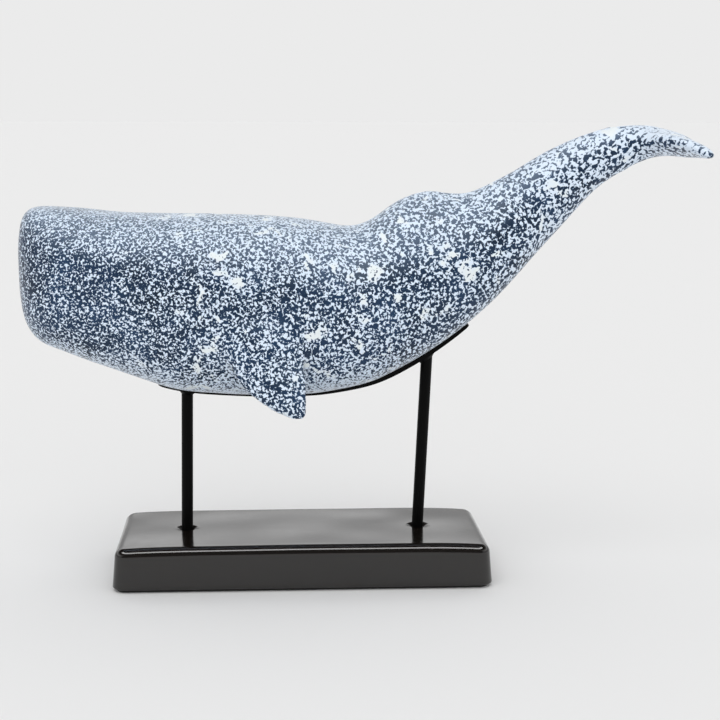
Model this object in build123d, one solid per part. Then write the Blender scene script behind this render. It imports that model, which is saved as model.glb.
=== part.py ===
"""Sperm whale figurine on a two-rod stand.

A hollow glazed ceramic whale, with its flippers and fluke luted on, lies in a bent steel strap.
Two steel rods carry the strap. Their tips stand in holes in the belly and are set there in epoxy,
and their threaded feet are clamped through the roof of a hollow glazed base by washers and nuts.
A felt sheet closes the base from below.

Millimetres. +Z is up, the nose points to -X, and the origin is the middle of the felt's underside.
Tables whose names end in shares hold shares, chosen by hand, of the named sizes that they follow.
"""
import os
from math import atan2, cos, degrees, hypot, radians, sin, tan

from build123d import *

# Whale: overall sizes
body_length = 440.0          # nose to the end of the tail stock, inside the fluke
body_width = 100.0           # across the widest section
whale_height = 187.5         # belly line to the top of the raised tail
belly_height = 127.5         # table to the belly's lowest point
balance_share = 0.4386       # share of the body that lies ahead of the middle of the base
shell_wall = 5.5             # ceramic wall
solid_tail_length = 88.0     # the end of the tail stock has no hollow
nose_round_length = 20.0     # how far back the brow and chin corners run
nose_taper_length = 42.0     # how far back the sides of the nose run
nose_cap_depth = 0.4         # the blunt front face lies this far behind the true nose point

# Whale: flippers and fluke
fin_span = 77.0              # root to tip, measured straight down
fin_chord = 66.0             # widest, at the root
fin_thickness = 14.0
fin_splay = 13.0             # the tip stands this much further out than the root
fin_root_sink = 5.0          # the root's middle lies this deep in the flank
fluke_span = 124.0
fluke_length = 48.5          # root to trailing edge
fluke_thickness = 26.0
fluke_droop = 10.0            # the tips hang this much lower than the root
fluke_root_sink = 22.0       # the fluke's root lies this deep in the tail stock

# Stand: strap and rods
strap_width = 14.0
strap_thickness = 4.2
strap_front_overhang = 19.5  # strap ahead of the front rod
strap_rear_overhang = 28.0   # strap behind the rear rod
strap_corner_radius = 5.0
rod_diameter = 8.0
rod_end_inset = 48.65        # each rod from its end of the base
rod_pair_offset = 0.7        # middle of the pair behind the middle of the base
front_rod_lean_degrees = 0.8  # both tops towards the tail
rear_rod_lean_degrees = 2.7
rod_tip_length = 15.0        # rod above the strap, inside the belly
rod_tip_chamfer = 1.0
weld_leg = 2.2
epoxy_diameter = 22.0
epoxy_cover = 2.5            # epoxy above the rod's tip

# Base, felt and fasteners
base_length = 260.5
base_depth = 113.0
base_height = 29.2
base_draft = 1.8             # each side leans in by this much at the top
base_corner_radius = 10.0
base_top_fillet = 4.0
base_foot_fillet = 2.5
base_wall = 7.0
base_roof = 9.0
seat_dimple_diameter = 13.5
seat_dimple_depth = 2.4
stud_diameter = 6.0
stud_overhang = 3.0          # thread below the nut
rubber_washer_diameter = 20.0
rubber_washer_thickness = 2.0
flat_washer_diameter = 18.0
flat_washer_thickness = 1.6
nut_across_flats = 10.0
nut_thickness = 5.0
nut_chamfer = 0.6
felt_thickness = 2.0
felt_inset = 3.0             # felt inside the foot of the base

# Clearances
glue_gap = 0.2               # strap in its groove
socket_gap = 0.6             # rod in its belly hole, each side
strap_hole_gap = 0.1         # rod in the strap, each side
stud_hole_gap = 0.5          # stud in the base and the rubber washer, each side
thread_gap = 0.05            # stud in the flat washer and nut, each side
seat_gap = 0.5               # rod's shoulder in the flat of its dimple, each side
end_station_gap = 2.0        # least space between the body's end sections and their neighbours

# Heights and places that follow from the sizes above
nose_reach = body_length * balance_share
base_top = felt_thickness + base_height
roof_underside = base_top - base_roof
rod_seat_height = base_top - seat_dimple_depth
rubber_height = roof_underside - rubber_washer_thickness
washer_height = rubber_height - flat_washer_thickness
nut_height = washer_height - nut_thickness
stud_foot_height = nut_height - stud_overhang
rods = {
    "front": (rod_pair_offset - base_length / 2 + rod_end_inset, front_rod_lean_degrees),
    "rear": (rod_pair_offset + base_length / 2 - rod_end_inset, rear_rod_lean_degrees),
}

# Outline of the whale, nose to tail: place as a share of body_length, height above the belly line
# as a share of whale_height, half breadth as a share of half of body_width.
back_shares = [
    (0.0, 0.695), (0.04, 0.697), (0.09, 0.691), (0.14, 0.678), (0.21, 0.671), (0.33, 0.667), (0.43, 0.654),
    (0.49, 0.630), (0.525, 0.626), (0.553, 0.653), (0.584, 0.705), (0.615, 0.740), (0.643, 0.752),
    (0.670, 0.745), (0.692, 0.742), (0.716, 0.757), (0.766, 0.815), (0.82, 0.890), (0.866, 0.941),
    (0.91, 0.976), (0.955, 0.998), (1.0, 0.995),
]
belly_shares = [
    (0.0, 0.230), (0.03, 0.202), (0.10, 0.138), (0.177, 0.073), (0.235, 0.028), (0.273, 0.014),
    (0.343, 0.002), (0.405, 0.0), (0.462, 0.004), (0.54, 0.039), (0.577, 0.074), (0.616, 0.122),
    (0.655, 0.179), (0.694, 0.244), (0.75, 0.360), (0.825, 0.553), (0.88, 0.694), (0.918, 0.782),
    (0.955, 0.828), (1.0, 0.873),
]
breadth_shares = [
    (0.0, 0.76), (0.10, 0.86), (0.21, 0.95), (0.32, 1.0), (0.43, 0.99), (0.54, 0.90), (0.63, 0.77),
    (0.72, 0.58), (0.81, 0.41), (0.89, 0.29), (0.95, 0.25), (1.0, 0.23),
]
# Squareness of the section above and below its widest line: 2 is an ellipse, more is boxier.
roundness_shares = [
    (0.0, 2.7, 2.7), (0.20, 2.6, 2.7), (0.40, 2.3, 2.6), (0.53, 2.0, 2.6), (0.64, 1.55, 2.6),
    (0.72, 1.7, 2.6), (0.82, 1.9, 2.1), (1.0, 2.0, 2.0),
]
widest_line_share = 0.5
nose_height_share = 0.455    # the foremost point, above the belly line
nose_brow_power = 3.8        # how square the brow is
nose_chin_power = 2.7        # how square the chin is
nose_side_power = 2.4        # how square the nose is from above
station_shares = [
    0.0025, 0.0075, 0.017, 0.034, 0.06, 0.10, 0.15, 0.20, 0.25, 0.30, 0.35, 0.40, 0.45, 0.49, 0.52,
    0.55, 0.58, 0.61, 0.64, 0.67, 0.70, 0.735, 0.775, 0.82, 0.865, 0.905, 0.94, 0.97, 1.0,
]
# How deep the strap lies in its groove in the belly: place as a share of body_length, depth as a share
# of strap_thickness. The belly wraps it in front and leaves its edges bare behind.
strap_sink_shares = [
    (0.0, 0.64), (0.30, 0.64), (0.44, 0.63), (0.505, 0.45), (0.57, 0.27), (0.64, 0.27), (0.70, 0.50),
    (1.0, 0.50),
]
fin_trailing_share = 0.4455   # nose to the flipper's rear edge, of body_length
fin_root_height_share = 0.366  # flipper's root above the belly line, of whale_height
section_points = 24
strap_points = 11

# Flipper slices, root to tip: drop, leading and trailing edge ahead of the rear edge, how far out,
# and thickness, as shares of fin_span, fin_chord, fin_chord, fin_splay and fin_thickness.
fin_slice_shares = [
    (0.0, 0.98, 0.22, 0.0, 0.62), (0.22, 0.93, 0.03, 0.10, 1.0), (0.45, 0.85, 0.01, 0.33, 0.92),
    (0.66, 0.72, 0.0, 0.60, 0.80), (0.81, 0.55, 0.0, 0.80, 0.66), (0.92, 0.36, 0.0, 0.92, 0.50),
    (0.98, 0.21, 0.02, 0.98, 0.36), (1.0, 0.14, 0.05, 1.0, 0.22),
]
# Fluke slices, middle to tip: place across, leading and trailing edge behind the root, height of the
# two edges, and thickness, as shares of half of fluke_span, fluke_length, fluke_droop and
# fluke_thickness.
fluke_slice_shares = [
    (0.0, 0.0, 0.90, 0.0, -0.17, 0.77), (0.26, 0.11, 0.97, 0.10, -0.52, 0.66),
    (0.52, 0.34, 1.0, 0.20, -0.85, 0.48), (0.78, 0.58, 1.0, -0.05, -0.95, 0.35),
    (0.94, 0.76, 0.97, -0.50, -0.95, 0.24), (1.0, 0.84, 0.93, -0.72, -0.95, 0.14),
]


def along(shares, place, column=1):
    """Value of a smooth curve through the rows of shares, at a place between the first and last row."""
    last = len(shares) - 1
    index = max(i for i in range(last) if shares[i][0] <= place or i == 0)

    def slope(i):
        low, high = shares[max(i - 1, 0)], shares[min(i + 1, last)]
        return (high[column] - low[column]) / (high[0] - low[0])

    start, end = shares[index], shares[index + 1]
    step = end[0] - start[0]
    t = (place - start[0]) / step
    return (
        (2 * t**3 - 3 * t**2 + 1) * start[column]
        + (t**3 - 2 * t**2 + t) * step * slope(index)
        + (3 * t**2 - 2 * t**3) * end[column]
        + (t**3 - t**2) * step * slope(index + 1)
    )


def belly_line(x):
    """Height of the belly's keel at a place along the part."""
    return belly_height + whale_height * along(belly_shares, (x + nose_reach) / body_length)


def half_breadth(x):
    """Half of the body's width at a place along the part."""
    return body_width / 2 * along(breadth_shares, (x + nose_reach) / body_length)


def nose_swell(behind, length, power):
    """Share of the full section that the rounded nose has reached, this far behind its point."""
    if behind >= length:
        return 1.0
    return (1 - (1 - behind / length) ** power) ** (1 / power)


def body_section(behind, wall):
    """Closed outline of the whale, this far behind the nose, drawn in by a wall."""
    place = behind / body_length
    x = behind - nose_reach
    nose_height = belly_height + whale_height * nose_height_share
    brow = nose_swell(behind - wall, nose_round_length, nose_brow_power)
    chin = nose_swell(behind - wall, nose_round_length, nose_chin_power)
    spread = nose_swell(behind - wall, nose_taper_length, nose_side_power)
    back = belly_height + whale_height * along(back_shares, place) - wall
    keel = belly_line(x) + wall
    top = nose_height + (back - nose_height) * brow
    bottom = nose_height + (keel - nose_height) * chin
    half = (half_breadth(x) - wall) * spread
    middle = bottom + (top - bottom) * widest_line_share
    outline = []
    for i in range(section_points):
        angle = radians(360 * i / section_points)
        power = along(roundness_shares, place, 1 if sin(angle) >= 0 else 2)
        reach = top - middle if sin(angle) >= 0 else middle - bottom
        y = half * abs(cos(angle)) ** (2 / power) * (1 if cos(angle) >= 0 else -1)
        z = reach * abs(sin(angle)) ** (2 / power) * (1 if sin(angle) >= 0 else -1)
        outline.append((x, y, middle + z))
    return Face(Wire([Spline(*outline, periodic=True)]))


def body_solid(wall, first, last):
    """The whale's body, drawn in by a wall, from one place behind the nose to another."""
    places = [body_length * share for share in station_shares]
    inside = [p for p in places if first + end_station_gap < p < last - end_station_gap]
    return loft([body_section(p, wall) for p in [first, *inside, last]])


def strap_sink(x):
    """How deep the strap's upper face lies in the belly at a place along the part."""
    return strap_thickness * along(strap_sink_shares, (x + nose_reach) / body_length)


def strap_edge(x_from, x_to, lift):
    """Points along the strap's upper face, lifted square to the keel, from one place to another."""
    points = []
    step = (x_to - x_from) / (strap_points - 1)
    for i in range(strap_points):
        x = x_from + step * i
        slope = atan2(belly_line(x + step / 2) - belly_line(x - step / 2), step)
        above = strap_sink(x) + lift
        points.append((x - above * sin(slope), 0, belly_line(x) + above * cos(slope)))
    return points


def strap_band(x_from, x_to, low, high, width):
    """A band along the strap between two lifts, as wide as given."""
    under = strap_edge(x_from, x_to, low)
    over = strap_edge(x_from, x_to, high)
    outline = Wire([
        Spline(*under), Line(under[-1], over[-1]), Spline(*reversed(over)), Line(over[0], under[0]),
    ])
    return extrude(Face(outline), width / 2, dir=(0, 1, 0), both=True)


def rod_axis(foot_x, lean):
    """Frame on the rod's seat in the base, with Z up the leaning rod."""
    return Plane(
        origin=(foot_x, 0, rod_seat_height), x_dir=(cos(radians(lean)), 0, -sin(radians(lean))),
        z_dir=(sin(radians(lean)), 0, cos(radians(lean))),
    )


def strap_crossing(foot_x, lean):
    """Place along the part where a rod's axis meets the strap's underside."""
    x = foot_x
    for _ in range(12):
        under = belly_line(x) + strap_sink(x) - strap_thickness
        x = foot_x + (under - rod_seat_height) * tan(radians(lean))
    return x


def along_rod(frame, x):
    """Distance up the rod at which its axis passes a place along the keel."""
    return hypot(x - frame.origin.X, belly_line(x) - frame.origin.Z)


def bar(frame, radius, start, end):
    """A round bar on a frame's Z axis, between two distances."""
    return frame * Pos(0, 0, start) * Cylinder(
        radius, end - start, align=(Align.CENTER, Align.CENTER, Align.MIN)
    )


def ring(outer, inner, height, x, z):
    """A flat ring on the rod's place in the base, standing on a height."""
    tube = Cylinder(outer, height, align=(Align.CENTER, Align.CENTER, Align.MIN))
    bore = Cylinder(inner, height, align=(Align.CENTER, Align.CENTER, Align.MIN))
    return Pos(x, 0, z) * (tube - bore)


def make_fin(side):
    """One flipper: slices lofted downwards, then fitted to the flank."""
    root_z = belly_height + whale_height * fin_root_height_share
    rear_x = body_length * fin_trailing_share - nose_reach
    flank = half_breadth(rear_x - fin_chord / 2) - fin_root_sink
    slices = []
    for drop, lead, trail, out, thick in fin_slice_shares:
        front, rear = rear_x - fin_chord * lead, rear_x - fin_chord * trail
        place = Pos((front + rear) / 2, side * (flank + fin_splay * out), root_z - fin_span * drop)
        slices.append(place * Face(Wire([Ellipse((rear - front) / 2, fin_thickness * thick / 2).edge()])))
    return loft(slices) - whale_outside


def make_fluke():
    """The fluke: slices lofted from tip to tip, then fitted to the tail stock."""
    root_x = body_length - fluke_root_sink - nose_reach
    tail_shares = along(back_shares, 1), along(belly_shares, 1)
    root_z = belly_height + whale_height * sum(tail_shares) / len(tail_shares)
    mirrored = [(-row[0], *row[1:]) for row in reversed(fluke_slice_shares[1:])]
    slices = []
    for across, lead, trail, lead_z, trail_z, thick in [*mirrored, *fluke_slice_shares]:
        front = Vector(root_x + fluke_length * lead, 0, root_z + fluke_droop * lead_z)
        rear = Vector(root_x + fluke_length * trail, 0, root_z + fluke_droop * trail_z)
        chord = rear - front
        middle = (front + rear) / 2 + Vector(0, fluke_span / 2 * across, 0)
        plane = Plane(origin=middle, x_dir=chord, z_dir=(0, -1, 0))
        slices.append(plane * Face(Wire([Ellipse(chord.length / 2, fluke_thickness * thick / 2).edge()])))
    return loft(slices) - whale_outside


def make_rod(foot_x, lean):
    """A rod: a leaning shank that stands on its seat, with a chamfered tip and an upright stud."""
    frame = rod_axis(foot_x, lean)
    tip = along_rod(frame, strap_crossing(foot_x, lean)) + rod_tip_length
    shank = bar(frame, rod_diameter / 2, -seat_dimple_depth, tip)
    shank = chamfer(shank.edges().sort_by(Axis.Z)[-1], rod_tip_chamfer)
    shank -= Pos(foot_x, 0, rod_seat_height) * Box(
        rod_diameter * 2, rod_diameter * 2, rod_diameter, align=(Align.CENTER, Align.CENTER, Align.MAX)
    )
    stud = Pos(foot_x, 0, stud_foot_height) * Cylinder(
        stud_diameter / 2, rod_seat_height - stud_foot_height,
        align=(Align.CENTER, Align.CENTER, Align.MIN),
    )
    return shank + stud


def make_weld(foot_x, lean, rod):
    """The bead where a rod meets the strap: a short cone on the strap's underside."""
    x = strap_crossing(foot_x, lean)
    reach = rod_diameter
    slope = degrees(atan2(belly_line(x + reach) - belly_line(x - reach), reach * 2))
    square = cos(radians(slope + lean))
    frame = rod_axis(foot_x, lean)
    up = Vector(frame.z_dir)
    on_strap = frame.origin + up * (along_rod(frame, x) - (strap_thickness - strap_sink(x)) / square)
    rings = []
    for below, leg in [(-strap_thickness / 2, weld_leg), (0, weld_leg), (weld_leg, 0)]:
        plane = Plane(
            origin=on_strap - up * below / square, x_dir=(cos(radians(slope)), 0, sin(radians(slope))),
            z_dir=(-sin(radians(slope)), 0, cos(radians(slope))),
        )
        oval = Ellipse(rod_diameter / 2 / square + leg, rod_diameter / 2 + leg)
        rings.append(plane * Face(Wire([oval.edge()])))
    return loft(rings, ruled=True) - strap_bar - rod


def make_epoxy(foot_x, lean, rod):
    """The epoxy round a rod's tip: a plug in the hollow and a collar in the belly hole."""
    frame = rod_axis(foot_x, lean)
    keel = along_rod(frame, strap_crossing(foot_x, lean))
    plug = bar(frame, epoxy_diameter / 2, keel - shell_wall, keel + rod_tip_length + epoxy_cover)
    collar = socket_hole(foot_x, lean)
    return (plug & whale_hollow) + (collar & grooved_whale) - rod


def socket_hole(foot_x, lean):
    """The hole in the belly that a rod's tip stands in."""
    frame = rod_axis(foot_x, lean)
    keel = along_rod(frame, strap_crossing(foot_x, lean))
    return bar(frame, rod_diameter / 2 + socket_gap, keel - strap_thickness, keel + shell_wall * 2)


def make_base(feet):
    """The base: a drafted block with soft edges, hollow from below, with a dimple and hole for each rod."""
    slope = degrees(atan2(base_draft, base_height))
    floor = Plane.XY.offset(felt_thickness)
    block = extrude(
        floor * RectangleRounded(base_length, base_depth, base_corner_radius), base_height, taper=slope
    )
    block = fillet(block.faces().sort_by(Axis.Z)[-1].edges(), base_top_fillet)
    block = fillet(block.faces().sort_by(Axis.Z)[0].edges(), base_foot_fillet)
    inside = RectangleRounded(
        base_length - base_wall * 2, base_depth - base_wall * 2, base_corner_radius - base_wall / 2
    )
    block -= extrude(floor * inside, base_height - base_roof, taper=slope)
    flat = rod_diameter / 2 + seat_gap
    for x in feet:
        block -= Pos(x, 0, base_top - seat_dimple_depth / 2) * Cone(
            flat, seat_dimple_diameter / 2, seat_dimple_depth
        )
        block -= Pos(x, 0, base_top) * Cylinder(stud_diameter / 2 + stud_hole_gap, base_height)
    return block


def make_nut(x, z):
    """A hexagon nut with chamfered corners, standing on a height."""
    hexagon = RegularPolygon(nut_across_flats / 2, 6, major_radius=False)
    corner = nut_across_flats / 2 / cos(radians(30))
    blank = extrude(hexagon, nut_thickness)
    turned = Cylinder(corner, nut_thickness, align=(Align.CENTER, Align.CENTER, Align.MIN))
    turned = chamfer(turned.edges().filter_by(GeomType.CIRCLE), nut_chamfer)
    thread = Cylinder(stud_diameter / 2 + thread_gap, nut_thickness * 3)
    return Pos(x, 0, z) * ((blank & turned) - thread)


def make_felt():
    """The felt sheet under the base."""
    sheet = RectangleRounded(
        base_length - felt_inset * 2, base_depth - felt_inset * 2, base_corner_radius - felt_inset / 2
    )
    return extrude(sheet, felt_thickness)


whale_outside = body_solid(0, nose_cap_depth, body_length)
whale_hollow = body_solid(shell_wall, shell_wall + nose_cap_depth, body_length - solid_tail_length)

strap_front = strap_crossing(*rods["front"]) - strap_front_overhang
strap_rear = strap_crossing(*rods["rear"]) + strap_rear_overhang
strap_bar = strap_band(strap_front, strap_rear, -strap_thickness, 0, strap_width)
strap_corners = strap_bar.edges().filter_by(GeomType.LINE) - strap_bar.edges().filter_by(Axis.Y)
strap_bar = fillet(strap_corners, strap_corner_radius)
strap_groove = strap_band(
    strap_front - glue_gap, strap_rear + glue_gap, -strap_thickness * 2, glue_gap,
    strap_width + glue_gap * 2,
)
grooved_whale = whale_outside - strap_groove

pieces = {}
shell = grooved_whale - whale_hollow
strap = strap_bar
for name, (foot_x, lean) in rods.items():
    rod = make_rod(foot_x, lean)
    frame = rod_axis(foot_x, lean)
    keel = along_rod(frame, strap_crossing(foot_x, lean))
    shell -= socket_hole(foot_x, lean)
    strap -= bar(frame, rod_diameter / 2 + strap_hole_gap, keel - rod_tip_length, keel + rod_tip_length)
    pieces[name + "_rod"] = rod
    pieces[name + "_rod_weld"] = make_weld(foot_x, lean, rod)
    pieces[name + "_socket_epoxy"] = make_epoxy(foot_x, lean, rod)
    pieces[name + "_rubber_washer"] = ring(
        rubber_washer_diameter / 2, stud_diameter / 2 + stud_hole_gap, rubber_washer_thickness,
        foot_x, rubber_height,
    )
    pieces[name + "_flat_washer"] = ring(
        flat_washer_diameter / 2, stud_diameter / 2 + thread_gap, flat_washer_thickness,
        foot_x, washer_height,
    )
    pieces[name + "_hex_nut"] = make_nut(foot_x, nut_height)
pieces["whale_shell"] = shell
pieces["left_pectoral_fin"] = make_fin(-1)
pieces["right_pectoral_fin"] = make_fin(1)
pieces["tail_fluke"] = make_fluke()
pieces["cradle_strap"] = strap
pieces["pedestal_base"] = make_base([foot_x for foot_x, _ in rods.values()])
pieces["base_felt"] = make_felt()

os.makedirs("parts", exist_ok=True)
for name, piece in pieces.items():
    piece.label = name
    export_step(piece, f"parts/{name}.step")
    print(name, "solids", len(piece.solids()), "volume", round(piece.volume))
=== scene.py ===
"""Looks of a speckled ceramic whale on a two-rod stand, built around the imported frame.

The whale's skin is fused from the frame's own pieces, softened where they were luted together, and cut
back into one closed piece for each of them. The base and its felt are drawn as rings of a rounded
rectangle. Rods, strap and fasteners keep their shapes from the frame and get their finishes here.
Lengths are metres in the frame's axes: +Z up, nose towards -X, origin under the middle of the base.
"""
import logging
import math
from dataclasses import dataclass, field
from enum import Enum

import bmesh
import bpy
from mathutils import Matrix, Vector, noise
from mathutils.bvhtree import BVHTree


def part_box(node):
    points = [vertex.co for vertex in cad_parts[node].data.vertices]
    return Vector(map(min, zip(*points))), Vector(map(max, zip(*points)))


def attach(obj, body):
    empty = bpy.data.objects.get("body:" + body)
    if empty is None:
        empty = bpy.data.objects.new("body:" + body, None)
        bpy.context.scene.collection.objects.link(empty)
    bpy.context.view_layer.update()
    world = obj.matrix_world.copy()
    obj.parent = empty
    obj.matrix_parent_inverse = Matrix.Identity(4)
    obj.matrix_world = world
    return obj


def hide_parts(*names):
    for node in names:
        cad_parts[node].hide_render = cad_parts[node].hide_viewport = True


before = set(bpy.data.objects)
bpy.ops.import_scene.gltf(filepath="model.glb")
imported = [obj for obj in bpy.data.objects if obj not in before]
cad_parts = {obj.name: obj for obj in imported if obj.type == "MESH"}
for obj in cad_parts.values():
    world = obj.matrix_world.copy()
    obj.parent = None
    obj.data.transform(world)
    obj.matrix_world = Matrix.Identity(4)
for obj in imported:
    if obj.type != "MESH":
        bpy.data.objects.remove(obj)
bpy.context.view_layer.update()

log = logging.getLogger("whale")

MM = 0.001
BODY = "root"
# Sockets of the Mix node's number and colour forms, which share their names.
MIX_FLOAT_A, MIX_FLOAT_B, MIX_FLOAT_OUT = 2, 3, 0
MIX_A, MIX_B, MIX_OUT = 6, 7, 2
# Points on each long side, short side and corner of a rounded rectangle. The sides' counts are even.
LOOP_LONG, LOOP_SHORT, LOOP_CORNER = 150, 50, 8
LEAST_CORNER = 0.3 * MM


class Rod(Enum):
    """The two rods of the stand, by their place."""

    FRONT = "front"
    REAR = "rear"


class Limb(Enum):
    """The pieces luted to the whale's body, by the frame's names."""

    LEFT_FLIPPER = "left_pectoral_fin"
    RIGHT_FLIPPER = "right_pectoral_fin"
    FLUKE = "tail_fluke"


def linear(code: str) -> tuple[float, float, float, float]:
    """Turns an sRGB hex colour into linear light.

    Args:
        code: six hex digits after a hash sign.

    Returns:
        Red, green, blue and a full alpha.
    """
    parts = [int(code[i:i + 2], 16) / 255 for i in (1, 3, 5)]
    red, green, blue = (c / 12.92 if c <= 0.04045 else ((c + 0.055) / 1.055) ** 2.4 for c in parts)
    return red, green, blue, 1.0


def per_metre(size_mm: float) -> float:
    """Pattern scale that gives a feature of this size in millimetres."""
    return 1 / (size_mm * MM)


def unevenness(point: Vector, length: float) -> float:
    """Share from 0 to 1 that wavers smoothly from place to place over about this length."""
    return 0.5 + 0.5 * noise.noise(point / length)


def add_node(
    tree: bpy.types.NodeTree, kind: str, settings: dict | None = None, links: dict | None = None
) -> bpy.types.Node:
    """Adds one shader node.

    Args:
        tree: the node tree that takes it.
        kind: the node's type name.
        settings: values by the name of a property, or by the name or number of an input.
        links: output sockets by the name or number of the input that they feed.

    Returns:
        The new node.
    """
    node = tree.nodes.new(kind)
    for key, value in (settings or {}).items():
        if isinstance(key, str) and hasattr(node, key):
            setattr(node, key, value)
        else:
            node.inputs[key].default_value = value
    for key, socket in (links or {}).items():
        tree.links.new(socket, node.inputs[key])
    return node


def start_material(name: str) -> tuple[bpy.types.Material, bpy.types.NodeTree, bpy.types.Node]:
    """Starts an empty material.

    Args:
        name: the material's name.

    Returns:
        The material, its node tree and a node with the frame's own coordinates, in metres.
    """
    material = bpy.data.materials.new(name)
    material.use_nodes = True
    tree = material.node_tree
    tree.nodes.clear()
    return material, tree, add_node(tree, "ShaderNodeTexCoord")


def end_material(tree: bpy.types.NodeTree, settings: dict, links: dict) -> None:
    """Closes a material with its surface shader.

    Args:
        tree: the material's node tree.
        settings: values of the shader's inputs that are alike all over.
        links: sockets that feed the other inputs.
    """
    surface = add_node(tree, "ShaderNodeBsdfPrincipled", settings, links)
    add_node(tree, "ShaderNodeOutputMaterial", links={"Surface": surface.outputs["BSDF"]})


@dataclass(frozen=True)
class SpeckledGlaze:
    """Stoneware under a navy reactive glaze, sprayed with white slip that broke into dense flecks.

    The eye gets wormy white crumbs on dark blue: fine and sparse on the head, coarser towards the tail,
    thicker on top as a painted highlight of the light from above, under a pale painted highlight haze,
    paler under the belly and low down as painted bounce light from the floor, and behind the head run
    together into creamy blotches here and there. The glaze has a soft sheen, and the slip stands a little
    proud.
    """

    # Colours of the dark ground, the flecks' edges, the painted highlight haze on top, and the slip thin
    # and thick.
    navy: str = "#0f2338"
    cobalt: str = "#1c3858"
    halo: str = "#527398"
    # Pale grey-blue of the painted highlight haze laid over the up-facing surfaces.
    painted_haze_colour: str = "#9db0c6"
    white: str = "#deebfa"
    cream: str = "#e8eff2"
    # Sizes of the flecks at the nose and at the tail, of the ground's drifts of colour, and of the
    # blotches, then how their noise is drawn, and how far the slip stands proud.
    fine_mm: float = 1.43
    coarse_mm: float = 2.9
    patch_mm: float = 30.0
    blotch_mm: float = 13.0
    noise_detail: float = 2.0
    noise_distortion: float = 0.5
    relief_mm: float = 0.2
    relief_strength: float = 0.6
    # Where each effect starts and is full, in metres along the whale or above the table.
    coarser_aft: tuple[float, float] = (-0.19, 0.27)
    mid_height: float = 0.2
    behind_head: tuple[float, float] = (-0.14, -0.07)
    whiter_aft: tuple[float, float] = (0.1, 0.27)
    before_tail: tuple[float, float] = (0.15, 0.04)
    low_down: tuple[float, float] = (0.175, 0.125)
    # The same by the way the surface faces, from -1 for straight down to 1 for straight up.
    facing_up: tuple[float, float] = (0.15, 0.95)
    facing_down: tuple[float, float] = (-0.4, -1.0)
    # The same by the level of the noise that draws it.
    thick_slip: tuple[float, float] = (0.61, 0.7)
    drifting: tuple[float, float] = (0.3, 0.7)
    # Level at which a fleck turns white and how soft its edge is, and the spans of its pale edge and of
    # the fleck round that level, counted in softnesses.
    white_from: float = 0.574
    softness: float = 0.021
    halo_band: tuple[float, float] = (-1.5, 0.0)
    crumb_band: tuple[float, float] = (-0.5, 1.0)
    # How far each effect pushes the flecks' noise towards white, and the most painted highlight haze on
    # top. The pushes on top, low down and under the belly are painted light.
    flank_push: float = 0.022
    tail_push: float = 0.06
    # Painted highlight: pushes the flecks whiter on up-facing surfaces, where the light from above falls.
    painted_top_light_push: float = 0.05
    # Painted bounce light: the next two push the flecks whiter under the belly and low down on the whale.
    painted_belly_bounce_push: float = 0.12
    painted_low_bounce_push: float = 0.01
    blotch_push: float = 0.16
    patch_push: float = 0.03
    # Most share of the painted highlight haze on the up-facing surfaces.
    most_painted_haze: float = 0.45
    roughness: float = 0.42
    sheen: float = 0.25
    sheen_roughness: float = 0.4
    specular: float = 0.25

    def material(self) -> bpy.types.Material:
        """Builds the finish.

        Returns:
            The material.
        """
        material, tree, where = start_material("speckled_reactive_glaze")
        along = add_node(tree, "ShaderNodeSeparateXYZ", links={"Vector": where.outputs["Object"]})
        shares = self.shares(tree, where, along)
        halo, crumb = self.flecks(tree, self.drawn_out(tree, where, along), shares)
        ground, slip = (
            add_node(tree, "ShaderNodeMix", {
                "data_type": "RGBA", MIX_A: linear(first), MIX_B: linear(second),
            }, {0: shares[name]})
            for first, second, name in (
                (self.navy, self.cobalt, "drift"), (self.white, self.cream, "gathered"),
            )
        )
        # Painted highlight: a pale haze laid over the up-facing surfaces, where the light from above
        # falls.
        painted_haze_share = add_node(tree, "ShaderNodeMath", {"operation": "MULTIPLY", 1: self.most_painted_haze}, {
            0: shares["up"],
        })
        edged = add_node(tree, "ShaderNodeMix", {"data_type": "RGBA", MIX_B: linear(self.halo)}, {
            0: halo, MIX_A: ground.outputs[MIX_OUT],
        })
        # The painted highlight haze mixed into the ground colour.
        hazed_ground = add_node(tree, "ShaderNodeMix", {"data_type": "RGBA", MIX_B: linear(self.painted_haze_colour)}, {
            0: painted_haze_share.outputs["Value"], MIX_A: edged.outputs[MIX_OUT],
        })
        colour = add_node(tree, "ShaderNodeMix", {"data_type": "RGBA"}, {
            0: crumb, MIX_A: hazed_ground.outputs[MIX_OUT], MIX_B: slip.outputs[MIX_OUT],
        })
        relief = add_node(tree, "ShaderNodeBump", {
            "Strength": self.relief_strength, "Distance": self.relief_mm * MM,
        }, {"Height": crumb})
        end_material(tree, {
            "Roughness": self.roughness, "Specular IOR Level": self.specular,
            "Sheen Weight": self.sheen, "Sheen Roughness": self.sheen_roughness,
        }, {"Base Color": colour.outputs[MIX_OUT], "Normal": relief.outputs["Normal"]})
        return material

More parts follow.
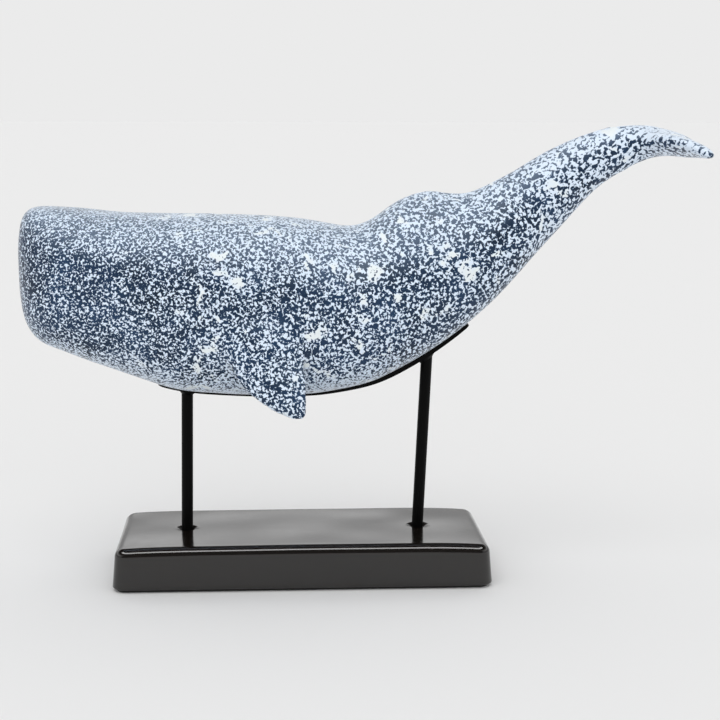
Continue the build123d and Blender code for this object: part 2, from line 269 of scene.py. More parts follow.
    def shares(
        self, tree: bpy.types.NodeTree, where: bpy.types.Node, along: bpy.types.Node
    ) -> dict[str, bpy.types.NodeSocket]:
        """Works out how strong each effect is over the whale, from 0 to 1.

        Args:
            tree: the material's node tree.
            where: the node with the frame's coordinates.
            along: the same coordinates, split.

        Returns:
            The effects' sockets by name.
        """
        patch, blotch = (
            add_node(tree, "ShaderNodeTexNoise", {
                "Scale": per_metre(size), "Detail": self.noise_detail,
                "Distortion": self.noise_distortion,
            }, {"Vector": where.outputs["Object"]}).outputs["Fac"]
            for size in (self.patch_mm, self.blotch_mm)
        )
        facing = add_node(tree, "ShaderNodeSeparateXYZ", links={"Vector": where.outputs["Normal"]})
        sources = {
            "flank": (along.outputs["X"], self.behind_head),
            "whiter": (along.outputs["X"], self.whiter_aft),
            "trunk": (along.outputs["X"], self.before_tail),
            "low": (along.outputs["Z"], self.low_down),
            "up": (facing.outputs["Z"], self.facing_up),
            "down": (facing.outputs["Z"], self.facing_down),
            "thick": (blotch, self.thick_slip),
            "drift": (patch, self.drifting),
        }
        shares = {
            name: add_node(tree, "ShaderNodeMapRange", {
                "From Min": first, "From Max": last,
            }, {"Value": socket}).outputs["Result"]
            for name, (socket, (first, last)) in sources.items()
        }
        for name, share, limit in (("gathered", "thick", "flank"), ("belly", "down", "trunk")):
            shares[name] = add_node(tree, "ShaderNodeMath", {"operation": "MULTIPLY"}, {
                0: shares[share], 1: shares[limit],
            }).outputs["Value"]
        return shares

    def flecks(
        self,
        tree: bpy.types.NodeTree,
        place: bpy.types.NodeSocket,
        shares: dict[str, bpy.types.NodeSocket],
    ) -> tuple[bpy.types.NodeSocket, bpy.types.NodeSocket]:
        """Draws the flecks, denser where the effects push their noise up.

        Args:
            tree: the material's node tree.
            place: coordinates counted in flecks.
            shares: the effects' sockets by name.

        Returns:
            The shares of the flecks' pale edges and of the flecks themselves.
        """
        level = add_node(tree, "ShaderNodeTexNoise", {
            "Scale": 1.0, "Detail": self.noise_detail, "Distortion": self.noise_distortion,
        }, {"Vector": place}).outputs["Fac"]
        # The pushes of "up", "belly" and "low" are painted light: a highlight on top and bounce light
        # underneath.
        pushes = {
            "flank": self.flank_push, "whiter": self.tail_push, "up": self.painted_top_light_push,
            "belly": self.painted_belly_bounce_push, "low": self.painted_low_bounce_push, "gathered": self.blotch_push,
            "drift": self.patch_push,
        }
        for name, push in pushes.items():
            level = add_node(tree, "ShaderNodeMath", {"operation": "MULTIPLY_ADD", 1: push}, {
                0: shares[name], 2: level,
            }).outputs["Value"]
        halo, crumb = (
            add_node(tree, "ShaderNodeMapRange", {
                "From Min": self.white_from + first * self.softness,
                "From Max": self.white_from + last * self.softness,
            }, {"Value": level}).outputs["Result"]
            for first, last in (self.halo_band, self.crumb_band)
        )
        return halo, crumb

    def drawn_out(
        self, tree: bpy.types.NodeTree, where: bpy.types.Node, along: bpy.types.Node
    ) -> bpy.types.NodeSocket:
        """Scales the pattern's coordinates, so that its flecks grow evenly from the nose to the tail.

        Args:
            tree: the material's node tree.
            where: the node with the frame's coordinates.
            along: the same coordinates, split.

        Returns:
            The coordinates counted in flecks. Along X they take the mean of the nose's scale and the
            local one, which sums up the scales in between, so no fleck is stretched.
        """
        nose, tail = self.coarser_aft
        most = per_metre(self.fine_mm)
        scale = add_node(tree, "ShaderNodeMapRange", {
            "From Min": nose, "From Max": tail, "To Min": most, "To Max": per_metre(self.coarse_mm),
        }, {"Value": along.outputs["X"]}).outputs["Result"]
        mean = add_node(tree, "ShaderNodeMath", {
            "operation": "MULTIPLY_ADD", 1: 0.5, 2: most / 2,
        }, {0: scale})
        scales = add_node(tree, "ShaderNodeCombineXYZ", links={
            "X": mean.outputs["Value"], "Y": scale, "Z": scale,
        })
        from_nose = add_node(tree, "ShaderNodeVectorMath", {
            "operation": "SUBTRACT", 1: (nose, 0.0, self.mid_height),
        }, {0: where.outputs["Object"]})
        return add_node(tree, "ShaderNodeVectorMath", {"operation": "MULTIPLY"}, {
            0: from_nose.outputs["Vector"], 1: scales.outputs["Vector"],
        }).outputs["Vector"]


@dataclass(frozen=True)
class BlackGlaze:
    """Stoneware under a glossy black glaze, dipped and fired.

    The eye gets deep black with mirror-like reflections that ripple a little, because the glaze pooled
    unevenly.
    """

    black: str = "#0b0908"
    brown_black: str = "#18130f"
    ripple_mm: float = 48.0
    ripple_depth_mm: float = 1.2
    mottle_mm: float = 9.0
    ripple_detail: float = 0.0
    mottle_detail: float = 2.0
    roughness: tuple[float, float] = (0.1, 0.18)
    ior: float = 1.6

    def material(self) -> bpy.types.Material:
        """Builds the finish.

        Returns:
            The material.
        """
        material, tree, where = start_material("glossy_black_glaze")
        ripple, mottle = (
            add_node(tree, "ShaderNodeTexNoise", {"Scale": per_metre(size), "Detail": detail}, {
                "Vector": where.outputs["Object"],
            })
            for size, detail in (
                (self.ripple_mm, self.ripple_detail), (self.mottle_mm, self.mottle_detail),
            )
        )
        colour = add_node(tree, "ShaderNodeMix", {
            "data_type": "RGBA", MIX_A: linear(self.black), MIX_B: linear(self.brown_black),
        }, {0: mottle.outputs["Fac"]})
        gloss = add_node(tree, "ShaderNodeMapRange", {
            "To Min": self.roughness[0], "To Max": self.roughness[1],
        }, {"Value": mottle.outputs["Fac"]})
        relief = add_node(tree, "ShaderNodeBump", {"Distance": self.ripple_depth_mm * MM}, {
            "Height": ripple.outputs["Fac"],
        })
        end_material(tree, {"IOR": self.ior}, {
            "Base Color": colour.outputs[MIX_OUT], "Roughness": gloss.outputs["Result"],
            "Normal": relief.outputs["Normal"],
        })
        return material


@dataclass(frozen=True)
class GrainedFinish:
    """A plain finish whose colour, gloss and relief all follow one fine grain."""

    name: str
    dark: str
    light: str
    grain_mm: float
    relief_mm: float
    roughness: tuple[float, float]
    metallic: float = 0.0
    specular: float = 0.5
    sheen: float = 0.0
    grain_detail: float = 4.0
    grain_roughness: float = 0.6

    def material(self) -> bpy.types.Material:
        """Builds the finish.

        Returns:
            The material.
        """
        material, tree, where = start_material(self.name)
        grain = add_node(tree, "ShaderNodeTexNoise", {
            "Scale": per_metre(self.grain_mm), "Detail": self.grain_detail,
            "Roughness": self.grain_roughness,
        }, {"Vector": where.outputs["Object"]})
        colour = add_node(tree, "ShaderNodeMix", {
            "data_type": "RGBA", MIX_A: linear(self.dark), MIX_B: linear(self.light),
        }, {0: grain.outputs["Fac"]})
        gloss = add_node(tree, "ShaderNodeMapRange", {
            "To Min": self.roughness[0], "To Max": self.roughness[1],
        }, {"Value": grain.outputs["Fac"]})
        relief = add_node(tree, "ShaderNodeBump", {"Distance": self.relief_mm * MM}, {
            "Height": grain.outputs["Fac"],
        })
        end_material(tree, {
            "Metallic": self.metallic, "Specular IOR Level": self.specular, "Sheen Weight": self.sheen,
        }, {
            "Base Color": colour.outputs[MIX_OUT], "Roughness": gloss.outputs["Result"],
            "Normal": relief.outputs["Normal"],
        })
        return material


# Mild steel bar under satin black stove enamel: nearly black, with a dull orange-peel sheen.
STOVE_ENAMEL = GrainedFinish(
    "satin_black_stove_enamel", dark="#030303", light="#080808",
    grain_mm=1.2, relief_mm=0.02, roughness=(0.38, 0.52), specular=0.08,
)
# Zinc-plated steel: pale metal with a faint crystalline cloudiness.
ZINC_PLATE = GrainedFinish(
    "zinc_plated_steel", dark="#a9adb0", light="#c9cccd",
    grain_mm=2.5, relief_mm=0.01, roughness=(0.28, 0.42), metallic=1.0,
)
# Moulded rubber: charcoal, dull, slightly dusty.
MOULDED_RUBBER = GrainedFinish(
    "moulded_rubber", dark="#161616", light="#222120",
    grain_mm=1.5, relief_mm=0.03, roughness=(0.75, 0.9),
)
# Two-part epoxy, poured and cured: amber, smooth, with soft clouding.
CURED_EPOXY = GrainedFinish(
    "cured_epoxy", dark="#94866a", light="#b3a687",
    grain_mm=4.0, relief_mm=0.02, roughness=(0.3, 0.45),
)
# Needled wool felt: black, fibrous and without gloss. The fibres are drawn coarser than real ones, so
# that they show.
NEEDLED_FELT = GrainedFinish(
    "needled_wool_felt", dark="#0d0d0e", light="#202022",
    grain_mm=0.9, relief_mm=0.25, roughness=(0.95, 1.0), sheen=0.3,
)


def dress(piece: bpy.types.Object, material: bpy.types.Material) -> None:
    """Gives every slot of a piece one material.

    Args:
        piece: the object.
        material: its finish.
    """
    if not piece.material_slots:
        piece.data.materials.append(material)
    for place in piece.material_slots:
        place.material = material


def place_piece(
    piece: bpy.types.Object, node: str, material: bpy.types.Material
) -> bpy.types.Object:
    """Sets a new piece in the frame in place of a node.

    Args:
        piece: the new object.
        node: the node that it stands for.
        material: its finish.

    Returns:
        The same object.
    """
    dress(piece, material)
    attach(piece, BODY)
    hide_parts(node)
    log.info("%s: %d faces in place of %s", piece.name, len(piece.data.polygons), node)
    return piece


def object_from(name: str, source: bmesh.types.BMesh) -> bpy.types.Object:
    """Makes a smooth-shaded object from an edit mesh, which it frees.

    Args:
        name: the object's name.
        source: the edit mesh.

    Returns:
        The linked object.
    """
    mesh = bpy.data.meshes.new(name)
    source.to_mesh(mesh)
    source.free()
    mesh.shade_smooth()
    piece = bpy.data.objects.new(name, mesh)
    bpy.context.scene.collection.objects.link(piece)
    return piece


@dataclass
class Whale:
    """The whale: its body, two flippers and fluke, as one softened skin cut into closed pieces."""

    glaze: SpeckledGlaze
    # The grid of the fused skin, how deep the limbs' roots are sunk, and how close counts as touching.
    voxel: float = 1.9 * MM
    root_sink: float = 2.5 * MM
    touch: float = 0.05 * MM
    # How often the skin is smoothed, all over and at the roots, and how the cuts between pieces settle.
    soften_factor: float = 0.5
    soften_rounds: int = 4
    root_soften_rounds: int = 38
    settle_rounds: int = 30
    most_cut_edges: int = 2
    least_like_sides: int = 2
    least_island: int = 500
    # How far each root's smoothing reaches, and the hand-made unevenness.
    flipper_root_reach: float = 10.0 * MM
    fluke_root_reach: float = 18.0 * MM
    wave_length: float = 26.0 * MM
    wave_depth: float = 0.4 * MM
    shell_node: str = "whale_shell"
    slot: str = "speckled_glaze"
    surfaces: dict[str, BVHTree] = field(init=False, default_factory=dict)

    def build(self) -> list[bpy.types.Object]:
        """Builds and places the four pieces.

        Returns:
            The body and the three limbs.
        """
        names = {
            self.shell_node: "whale_body", Limb.LEFT_FLIPPER.value: "whale_left_flipper",
            Limb.RIGHT_FLIPPER.value: "whale_right_flipper", Limb.FLUKE.value: "whale_fluke",
        }
        for node in names:
            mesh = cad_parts[node].data
            self.surfaces[node] = BVHTree.FromPolygons(
                [v.co for v in mesh.vertices], [tuple(p.vertices) for p in mesh.polygons]
            )
        skin = self.fused_skin()
        self.soften(skin)
        owners = self.settled([self.owner(face.center) for face in skin.polygons], skin)
        material = self.glaze.material()
        pieces = []
        for node, name in names.items():
            piece = object_from(name, self.cut_out(skin, owners, node))
            pieces.append(place_piece(piece, node, material))
        bpy.data.meshes.remove(skin)
        return pieces

    def fused_skin(self) -> bpy.types.Mesh:
        """Fuses the frame's four nodes, with the limbs' roots sunk into the body.

        Returns:
            One even mesh over all of them.
        """
        joined = bmesh.new()
        joined.from_mesh(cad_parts[self.shell_node].data)
        body = self.surfaces[self.shell_node]
        for limb in Limb:
            first = len(joined.verts)
            joined.from_mesh(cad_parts[limb.value].data)
            joined.verts.ensure_lookup_table()
            for vertex in joined.verts[first:]:
                _, normal, _, distance = body.find_nearest(vertex.co)
                if distance < self.touch:
                    vertex.co -= normal * self.root_sink
        rough = object_from("rough_skin", joined)
        remesh = rough.modifiers.new("even", "REMESH")
        remesh.mode = "VOXEL"
        remesh.voxel_size = self.voxel
        shaped = rough.evaluated_get(bpy.context.evaluated_depsgraph_get())
        skin = bpy.data.meshes.new_from_object(shaped)
        bpy.data.objects.remove(rough)
        return skin

    def drop_crumbs(self, work: bmesh.types.BMesh) -> None:
        """Deletes the small loose bits that fusing leaves.

        Args:
            work: the edit mesh, which is changed.
        """
        unseen = dict.fromkeys(work.verts)
        while unseen:
            island = [unseen.popitem()[0]]
            for vertex in island:
                for edge in vertex.link_edges:
                    other = edge.other_vert(vertex)
                    if other in unseen:
                        del unseen[other]
                        island.append(other)
            if len(island) < self.least_island:
                bmesh.ops.delete(work, geom=island, context="VERTS")

    def near_root(self, point: Vector) -> bool:
        """Tells whether a point lies where a limb runs into the body.

        Args:
            point: a place on the skin.

        Returns:
            True if the body and a limb are both within that limb's reach.
        """
        body_away = self.surfaces[self.shell_node].find_nearest(point)[3]
        for limb in Limb:
            reach = self.fluke_root_reach if limb is Limb.FLUKE else self.flipper_root_reach
            if body_away < reach and self.surfaces[limb.value].find_nearest(point)[3] < reach:
                return True
        return False

    def soften(self, skin: bpy.types.Mesh) -> None:
        """Smooths the skin, most where a limb joins the body, and gives it a hand-made unevenness.

        Args:
            skin: the even mesh, which is changed.
        """
        work = bmesh.new()
        work.from_mesh(skin)
        self.drop_crumbs(work)
        roots = [vertex for vertex in work.verts if self.near_root(vertex.co)]
        for verts, rounds in ((roots, self.root_soften_rounds), (work.verts[:], self.soften_rounds)):
            for _ in range(rounds):
                bmesh.ops.smooth_vert(
                    work, verts=verts, factor=self.soften_factor,
                    use_axis_x=True, use_axis_y=True, use_axis_z=True,
                )
        work.normal_update()
        for vertex in work.verts:
            vertex.co -= vertex.normal * self.wave_depth * unevenness(vertex.co, self.wave_length)
        work.to_mesh(skin)
        work.free()

    def owner(self, point: Vector) -> str:
        """Names the node whose surface lies nearest to a point."""
        return min(self.surfaces, key=lambda node: self.surfaces[node].find_nearest(point)[3])

    def settled(self, owners: list[str], skin: bpy.types.Mesh) -> list[str]:
        """Straightens the lines between owners, so that each cut is a plain loop.

        Args:
            owners: the node of each face.
            skin: the mesh with those faces.

        Returns:
            The node of each face, without lone faces or places where two cuts touch.
        """
        work = bmesh.new()
        work.from_mesh(skin)
        work.faces.ensure_lookup_table()
        owners = owners[:]
        for _ in range(self.settle_rounds):
            before = owners[:]
            for vertex in work.verts:
                sides = [[owners[face.index] for face in edge.link_faces] for edge in vertex.link_edges]
                if sum(len(set(pair)) > 1 for pair in sides) > self.most_cut_edges:
                    for face in vertex.link_faces:
                        owners[face.index] = self.shell_node
            for face in work.faces:
                near = [
                    owners[other.index] for edge in face.edges for other in edge.link_faces
                    if other is not face
                ]
                if near.count(owners[face.index]) < self.least_like_sides:
                    owners[face.index] = max(near, key=near.count)
            if owners == before:
                break
        work.free()
        return owners

    def cut_out(self, skin: bpy.types.Mesh, owners: list[str], node: str) -> bmesh.types.BMesh:
        """Takes one node's share of the skin and closes it where it was cut.

        Args:
            skin: the softened mesh.
            owners: the node of each face.
            node: the node whose share is wanted.

        Returns:
            A closed edit mesh.
        """
        share = bmesh.new()
        share.from_mesh(skin)
        others = [face for face, owner in zip(share.faces, owners) if owner != node]
        bmesh.ops.delete(share, geom=others, context="FACES")
        rim = dict.fromkeys(edge for edge in share.edges if edge.is_boundary)
        while rim:
            loop = [rim.popitem()[0]]
            for edge in loop:
                edge.smooth = False
                for other in (other for vertex in edge.verts for other in vertex.link_edges):
                    if other in rim:
                        del rim[other]
                        loop.append(other)
            corners = dict.fromkeys(vertex for edge in loop for vertex in edge.verts)
            middle = share.verts.new(sum((vertex.co for vertex in corners), Vector()) / len(corners))
            for edge in loop:
                share.faces.new((*edge.verts, middle))
        bmesh.ops.recalc_face_normals(share, faces=share.faces)
        return share


def rounded_loop(half_x: float, half_y: float, radius: float) -> list[Vector]:
    """Points round a rectangle with round corners.

    Args:
        half_x: half of its size along X.
        half_y: half of its size along Y.
        radius: radius of its corners.

    Returns:
        The points in the plane, anticlockwise from just past the middle of the +X side.
    """
    radius = min(max(radius, LEAST_CORNER), half_y)
    arcs = []
    for turn, (sx, sy) in enumerate(((1, -1), (1, 1), (-1, 1), (-1, -1))):
        centre = Vector((sx * (half_x - radius), sy * (half_y - radius)))
        angles = [math.radians(90 * (turn - 1 + i / (LOOP_CORNER - 1))) for i in range(LOOP_CORNER)]
        arcs.append([centre + radius * Vector((math.cos(a), math.sin(a))) for a in angles])
    points = []
    for turn, arc in enumerate(arcs):
        after = arcs[(turn + 1) % len(arcs)][0]
        count = LOOP_LONG if turn % 2 else LOOP_SHORT
        points += arc + [arc[-1].lerp(after, i / (count + 1)) for i in range(1, count + 1)]
    first = LOOP_CORNER + LOOP_SHORT // 2
    return points[first:] + points[:first]


def skin_rings(rings: list[list[Vector]]) -> bmesh.types.BMesh:
    """Joins rings of equally many points, and closes the first and last from side to side.

    Args:
        rings: the rings in order, each alike on both sides of the X axis.

    Returns:
        A closed edit mesh.
    """
    work = bmesh.new()
    rows = [[work.verts.new(p) for p in ring] for ring in rings]
    count = len(rows[0])
    for low, high in zip(rows, rows[1:]):
        for i in range(count):
            work.faces.new((low[i], low[(i + 1) % count], high[(i + 1) % count], high[i]))
    for row in (rows[0], rows[-1]):
        for i in range(count // 2 - 1):
            work.faces.new((row[i], row[i + 1], row[count - 2 - i], row[count - 1 - i]))
    bmesh.ops.recalc_face_normals(work, faces=work.faces)
    return work


@dataclass
class PedestalBase:
    """The base: a low block with soft, slightly wavering edges and a dimple round each rod."""

    glaze: BlackGlaze
    # The block's section: its corners in plan, the slope of its sides, its edges and its hollow.
    corner: float = 10.0 * MM
    draft: float = 1.8 * MM
    top_round: float = 6.0 * MM
    foot_round: float = 1.3 * MM
    wall: float = 7.0 * MM
    roof: float = 9.0 * MM
    # The bowl round each rod, and the share of the height above which points are sunk into it.
    dimple_radius: float = 7.4 * MM
    dimple_depth: float = 2.2 * MM
    dimple_steepness: float = 2.0
    dimpled_from: float = 0.9
    # The hand-made waver, and how the top falls towards the ends.
    wave_length: float = 70.0 * MM
    wave_depth: float = 0.6 * MM
    end_fall: float = 2.0 * MM
    end_fall_power: int = 6
    # How finely the section is drawn.
    round_steps: int = 12
    side_steps: int = 12
    top_step: float = 1.4 * MM
    node: str = "pedestal_base"
    slot: str = "black_glaze"
    low: Vector = field(init=False)
    high: Vector = field(init=False)
    rods: list[Vector] = field(init=False, default_factory=list)

    def build(self) -> bpy.types.Object:
        """Builds and places the base.

        Returns:
            The base.
        """
        self.low, self.high = (Vector(c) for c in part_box(self.node))
        for rod in Rod:
            low, high = (Vector(c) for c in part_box(f"{rod.value}_hex_nut"))
            self.rods.append((low + high) / 2)
        rings = [self.ring(inset, height) for inset, height in self.profile()]
        piece = object_from("whale_pedestal", skin_rings(rings))
        return place_piece(piece, self.node, self.glaze.material())

    def profile(self) -> list[tuple[float, float]]:
        """Works out the base's section from the roof of its hollow, round the foot, to its top.

        Returns:
            Pairs of inset from the outer edge and height above the foot.
        """
        tall = self.high.z - self.low.z
        deep = (self.high.y - self.low.y) / 2
        quarter = [math.radians(90 * i / self.round_steps) for i in range(self.round_steps + 1)]
        points = [
            (deep - self.top_step, tall - self.roof), (self.wall * 2, tall - self.roof),
            (self.wall + self.draft, tall - self.roof), (self.wall, 0.0),
        ]
        for angle in quarter:
            inset = self.foot_round * (1 - math.sin(angle))
            points.append((inset, self.foot_round * (1 - math.cos(angle))))
        side = tall - self.foot_round - self.top_round
        for i in range(1, self.side_steps):
            share = i / self.side_steps
            points.append((self.draft * share, self.foot_round + side * share))
        for angle in quarter:
            inset = self.draft + self.top_round * (1 - math.cos(angle))
            points.append((inset, tall - self.top_round * (1 - math.sin(angle))))
        inset = points[-1][0] + self.top_step
        while inset < deep - self.top_step / 2:
            points.append((inset, tall))
            inset += self.top_step
        return points

    def ring(self, inset: float, height: float) -> list[Vector]:
        """Points of the base at one inset and height, with its waver and dimples.

        Args:
            inset: distance in from the outer edge.
            height: height above the foot.

        Returns:
            The ring's points.
        """
        half = (self.high - self.low) / 2
        outline = rounded_loop(half.x - inset, half.y - inset, self.corner - inset)
        return [self.worked(Vector((*point, self.low.z + height)), height) for point in outline]

    def worked(self, point: Vector, height: float) -> Vector:
        """Moves one point by the hand-made waver, the fall towards the ends and the dimples.

        Args:
            point: where it lies on the true block.
            height: its height above the foot.

        Returns:
            Where it lies on the base.
        """
        if height <= 0:
            return point
        waver = self.wave_depth * unevenness(point, self.wave_length)
        top_share = height / (self.high.z - self.low.z)
        fall = waver + self.end_fall * (abs(point.x) / self.high.x) ** self.end_fall_power
        moved = Vector((
            point.x * (1 - waver / self.high.x), point.y * (1 - waver / self.high.y),
            point.z - fall * top_share,
        ))
        if top_share > self.dimpled_from:
            for rod in self.rods:
                away = math.hypot(point.x - rod.x, point.y - rod.y) / self.dimple_radius
                bowl = self.dimple_steepness * max(0.0, 1 - away * away)
                moved.z -= self.dimple_depth * min(1.0, bowl)
        return moved


@dataclass
class FeltSheet:
    """The felt under the base, cut a little inside its foot."""

    finish: GrainedFinish
    corner: float = 7.0 * MM
    edge_round: float = 0.7 * MM
    fray: float = 0.25 * MM
    fray_length: float = 3.0 * MM
    ring_step: float = 6.0 * MM
    node: str = "base_felt"
    slot: str = "felt"

    def build(self, carrier: bpy.types.Object) -> bpy.types.Object:
        """Builds and places the felt.

        Args:
            carrier: the base that it is glued to; not used.

        Returns:
            The felt.
        """
        low, high = (Vector(c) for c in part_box(self.node))
        half = (high - low) / 2
        inner = half.y - self.ring_step / 2
        insets = (inner, self.ring_step, self.edge_round, 0.0)
        heights = (low.z, low.z, low.z, low.z + self.edge_round)
        section = list(zip(insets, heights))
        section += [(inset, high.z - (height - low.z)) for inset, height in reversed(section)]
        rings = [self.ring(half, inset, height) for inset, height in section]
        piece = object_from("whale_pedestal_felt", skin_rings(rings))
        place_piece(piece, self.node, self.finish.material())
        return piece

    def ring(self, half: Vector, inset: float, height: float) -> list[Vector]:
        """Points of the felt at one inset and height, with a frayed edge.

        Args:
            half: half of the sheet's size.
            inset: distance in from the edge.
            height: height in the frame.

        Returns:
            The ring's points.
        """
        points = []
        for flat in rounded_loop(half.x - inset, half.y - inset, self.corner - inset):
            place = Vector((*flat, height))
            fray = self.fray * unevenness(place, self.fray_length)
            points.append(Vector((place.x * (1 - fray / half.x), place.y * (1 - fray / half.y), height)))
        return points


@dataclass
class Stand:
    """Rods, strap, welds and fasteners, which keep their shapes from the frame."""

    strap_node: str = "cradle_strap"

    def dress(self) -> None:
        """Gives each node of the stand its finish."""
        finishes = {
            STOVE_ENAMEL: [self.strap_node, *self.pair("rod"), *self.pair("rod_weld")],
            ZINC_PLATE: [*self.pair("hex_nut"), *self.pair("flat_washer")],
            MOULDED_RUBBER: self.pair("rubber_washer"),
            CURED_EPOXY: self.pair("socket_epoxy"),
        }
        for finish, nodes in finishes.items():
            material = finish.material()
            for node in nodes:
                dress(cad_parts[node], material)
                log.info("%s: %s", node, finish.name)

    def pair(self, what: str) -> list[str]:
        """The two nodes of a kind, one for each rod."""
        return [f"{rod.value}_{what}" for rod in Rod]


@dataclass(frozen=True)
class Softbox:
    """A broad, far lamp: its name, strength, width and how far it leans from straight down."""

    name: str
    strength: float
    width_deg: float
    lean_deg: tuple[float, float]


@dataclass(frozen=True)
class Studio:
    """Floor, light and camera."""

    pale: str = "#ebebeb"
    fill_colour: str = "#ffffff"
    fill: float = 0.67
    softboxes: tuple[Softbox, ...] = (
        Softbox("front_softbox", strength=0.65, width_deg=45.0, lean_deg=(30.0, -12.0)),
        Softbox("rear_softbox", strength=0.4, width_deg=60.0, lean_deg=(-28.0, 0.0)),
        Softbox("low_softbox", strength=0.75, width_deg=60.0, lean_deg=(80.0, 0.0)),
    )
    # The backdrop that reflections show: its strength, and the share left of it low down, high up and in
    # front, each with the span of heights or depths of the unit sphere over which it dims.
    mirrored: float = 2.0
    mirrored_low: float = 0.35
    mirrored_high: float = 0.03
    mirrored_near: float = 0.06
    low_span: tuple[float, float] = (0.28, 0.235)
    high_span: tuple[float, float] = (0.3, 0.6)
    near_span: tuple[float, float] = (-0.2, -0.8)
    # The strip lamp in it, by its strength, its height on the unit sphere and half of its width.
    strip: float = 9.0
    strip_height: float = 0.86
    strip_half_width: float = 0.06
    floor_half: float = 30.0
    # The camera that was fitted to the photograph's base and rods.
    camera_place: tuple[float, float, float] = (-0.024, -1.115, 0.327)
    camera_yaw_deg: float = 3.35
    camera_pitch_deg: float = 9.0
    camera_roll_deg: float = 0.11
    sensor_mm: float = 36.0
    focal_px: float = 1614.0
    picture_px: float = 720.0

    def build(self) -> None:
        """Sets up the picture."""
        scene = bpy.context.scene
        scene.view_settings.view_transform = "Standard"
        self.lay_floor()
        self.light_world(scene)
        for softbox in self.softboxes:
            self.hang(scene, softbox)
        self.place_camera(scene)

    def lay_floor(self) -> None:
        """Lays a plain pale floor, as bright as the world's horizon under this light."""
        work = bmesh.new()
        bmesh.ops.create_grid(work, x_segments=1, y_segments=1, size=self.floor_half)
        floor = object_from("studio_floor", work)
        material, tree, _ = start_material("pale_paper_floor")
        end_material(tree, {
            "Base Color": linear(self.pale), "Roughness": 1.0, "Specular IOR Level": 0.0,
        }, {})
        dress(floor, material)

    def light_world(self, scene: bpy.types.Scene) -> None:
        """Gives an even fill, a pale backdrop to the eye and another backdrop to reflections.

        Args:
            scene: the scene.
        """
        world = bpy.data.worlds.new("studio")
        world.use_nodes = True
        scene.world = world
        tree = world.node_tree
        tree.nodes.clear()
        ray = add_node(tree, "ShaderNodeLightPath")
        strength = add_node(tree, "ShaderNodeMix", {"data_type": "FLOAT", MIX_FLOAT_B: 1.0}, {
            0: ray.outputs["Is Camera Ray"], MIX_FLOAT_A: self.reflected(tree),
        })
        seen = add_node(tree, "ShaderNodeBackground", {"Color": linear(self.pale)}, {
            "Strength": strength.outputs[MIX_FLOAT_OUT],
        })
        fill = add_node(tree, "ShaderNodeBackground", {
            "Color": linear(self.fill_colour), "Strength": self.fill,
        })
        shown = ray.outputs["Is Camera Ray"]
        for kind in ("Is Glossy Ray", "Is Transmission Ray"):
            shown = add_node(tree, "ShaderNodeMath", {"operation": "MAXIMUM"}, {
                0: shown, 1: ray.outputs[kind],
            }).outputs["Value"]
        mixed = add_node(tree, "ShaderNodeMixShader", links={
            0: shown, 1: fill.outputs["Background"], 2: seen.outputs["Background"],
        })
        add_node(tree, "ShaderNodeOutputWorld", links={"Surface": mixed.outputs["Shader"]})

    def reflected(self, tree: bpy.types.NodeTree) -> bpy.types.NodeSocket:
        """Draws the backdrop that reflections show, with a strip lamp high in front.

        Args:
            tree: the world's node tree.

        Returns:
            The backdrop's strength.
        """
        way = add_node(tree, "ShaderNodeTexCoord")
        split = add_node(tree, "ShaderNodeSeparateXYZ", links={"Vector": way.outputs["Generated"]})
        low, high, near = (
            add_node(tree, "ShaderNodeMapRange", {
                "From Min": first, "From Max": last,
                "To Min": self.mirrored, "To Max": self.mirrored * dim,
            }, {"Value": split.outputs[axis]}).outputs["Result"]
            for axis, (first, last), dim in (
                ("Z", self.low_span, self.mirrored_low), ("Z", self.high_span, self.mirrored_high),
                ("Y", self.near_span, self.mirrored_near),
            )
        )
        dimmed = low
        for other in (high, near):
            dimmed = add_node(tree, "ShaderNodeMath", {"operation": "MINIMUM"}, {
                0: dimmed, 1: other,
            }).outputs["Value"]
        band = add_node(tree, "ShaderNodeMath", {
            "operation": "COMPARE", 1: self.strip_height, 2: self.strip_half_width,
        }, {0: split.outputs["Z"]})
        front = add_node(tree, "ShaderNodeMath", {"operation": "LESS_THAN", 1: 0.0}, {
            0: split.outputs["Y"],
        })
        lamp = add_node(tree, "ShaderNodeMath", {"operation": "MULTIPLY"}, {
            0: band.outputs["Value"], 1: front.outputs["Value"],
        })
        return add_node(tree, "ShaderNodeMath", {"operation": "MULTIPLY_ADD", 1: self.strip}, {
            0: lamp.outputs["Value"], 2: dimmed,
        }).outputs["Value"]

    def hang(self, scene: bpy.types.Scene, softbox: Softbox) -> None:
        """Hangs one softbox. Reflections leave it out, because the world gives them their own backdrop.

        Args:
            scene: the scene.
            softbox: the lamp.
        """
        lamp = bpy.data.lights.new(softbox.name, "SUN")
        lamp.energy = softbox.strength
        lamp.angle = math.radians(softbox.width_deg)
        hung = bpy.data.objects.new(softbox.name, lamp)
        hung.rotation_euler = [math.radians(a) for a in (*softbox.lean_deg, 0.0)]
        hung.visible_glossy = False
        scene.collection.objects.link(hung)

    def place_camera(self, scene: bpy.types.Scene) -> None:
        """Sets the camera at the photograph's view.

        Args:
            scene: the scene.
        """
        lens = bpy.data.cameras.new("photo_view")
        lens.sensor_width = self.sensor_mm
        lens.lens = self.focal_px * lens.sensor_width / self.picture_px
        camera = bpy.data.objects.new("photo_view", lens)
        turn = Matrix.Rotation(math.radians(-self.camera_yaw_deg), 4, "Z")
        nod = Matrix.Rotation(math.radians(90 - self.camera_pitch_deg), 4, "X")
        roll = Matrix.Rotation(math.radians(self.camera_roll_deg), 4, "Z")
        camera.matrix_world = Matrix.Translation(self.camera_place) @ turn @ nod @ roll
        scene.collection.objects.link(camera)
        scene.camera = camera


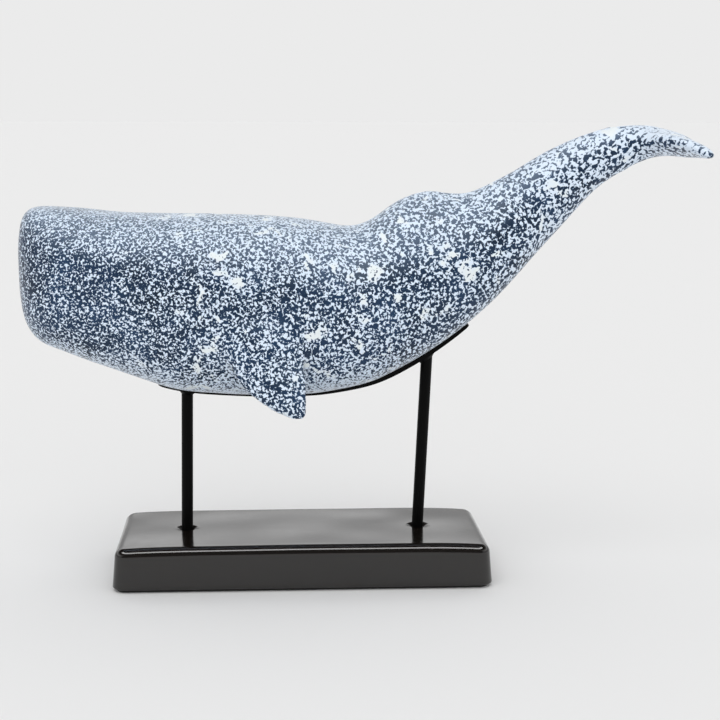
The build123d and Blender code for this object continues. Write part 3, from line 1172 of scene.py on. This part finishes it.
def main() -> None:
    """Builds the part's looks and the studio round it."""
    logging.basicConfig(level=logging.INFO, format="%(name)s: %(message)s")
    Whale(SpeckledGlaze()).build()
    base = PedestalBase(BlackGlaze()).build()
    FeltSheet(NEEDLED_FELT).build(base)
    Stand().dress()
    Studio().build()


if __name__ == "__main__":
    main()
